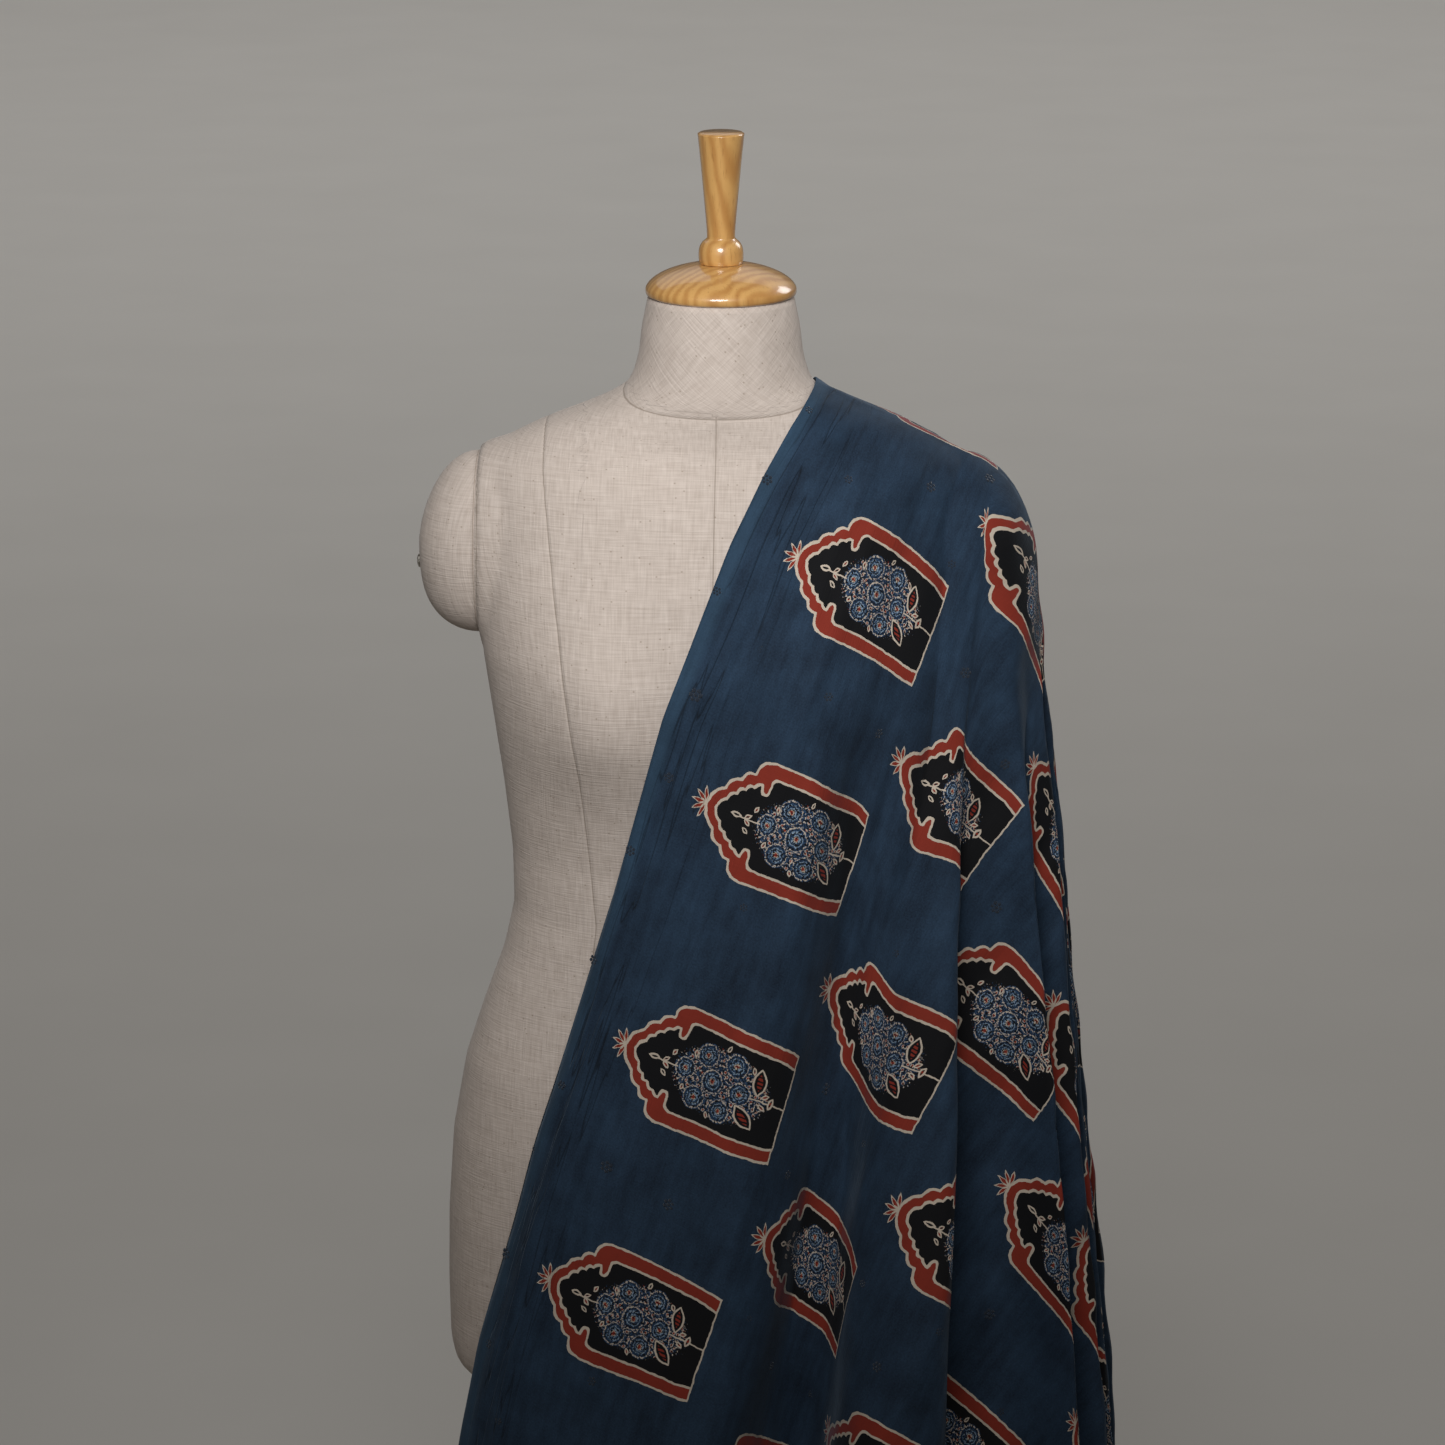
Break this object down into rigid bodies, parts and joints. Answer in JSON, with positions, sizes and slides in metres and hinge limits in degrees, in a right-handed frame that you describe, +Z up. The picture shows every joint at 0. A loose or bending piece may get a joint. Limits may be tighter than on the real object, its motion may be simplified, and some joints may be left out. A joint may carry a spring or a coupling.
{
  "type": "ajrakh cloth draped on a dress form",
  "caption": "A block-printed indigo cotton length hanging like a half cape from one shoulder of a plain linen dress form on a round stand.",
  "frame": {"origin": "centre of the base's flat underside", "axes": "+Z up, -Y the form's front, +X the form's left side, where the cloth hangs"},
  "size_m": [0.5444, 0.5275, 1.6425],
  "materials": {
    "printed_cotton": "indigo-dyed plain weave with a resist and mordant block print",
    "linen": "unbleached slubby linen stretched over padding",
    "lacquered_wood": "turned pale hardwood under gloss lacquer",
    "nickel": "nickel plated steel",
    "enamelled_steel": "black stove enamel, satin"
  },
  "bodies": {
    "root": {"cloth": "printed_cotton", "torso": "linen", "arm_cap_left": "linen", "arm_cap_right": "linen", "arm_screw": "nickel", "neck_cap": "lacquered_wood", "finial": "lacquered_wood", "collar": "enamelled_steel", "pole": "nickel", "base": "enamelled_steel"}
  },
  "joints": []
}
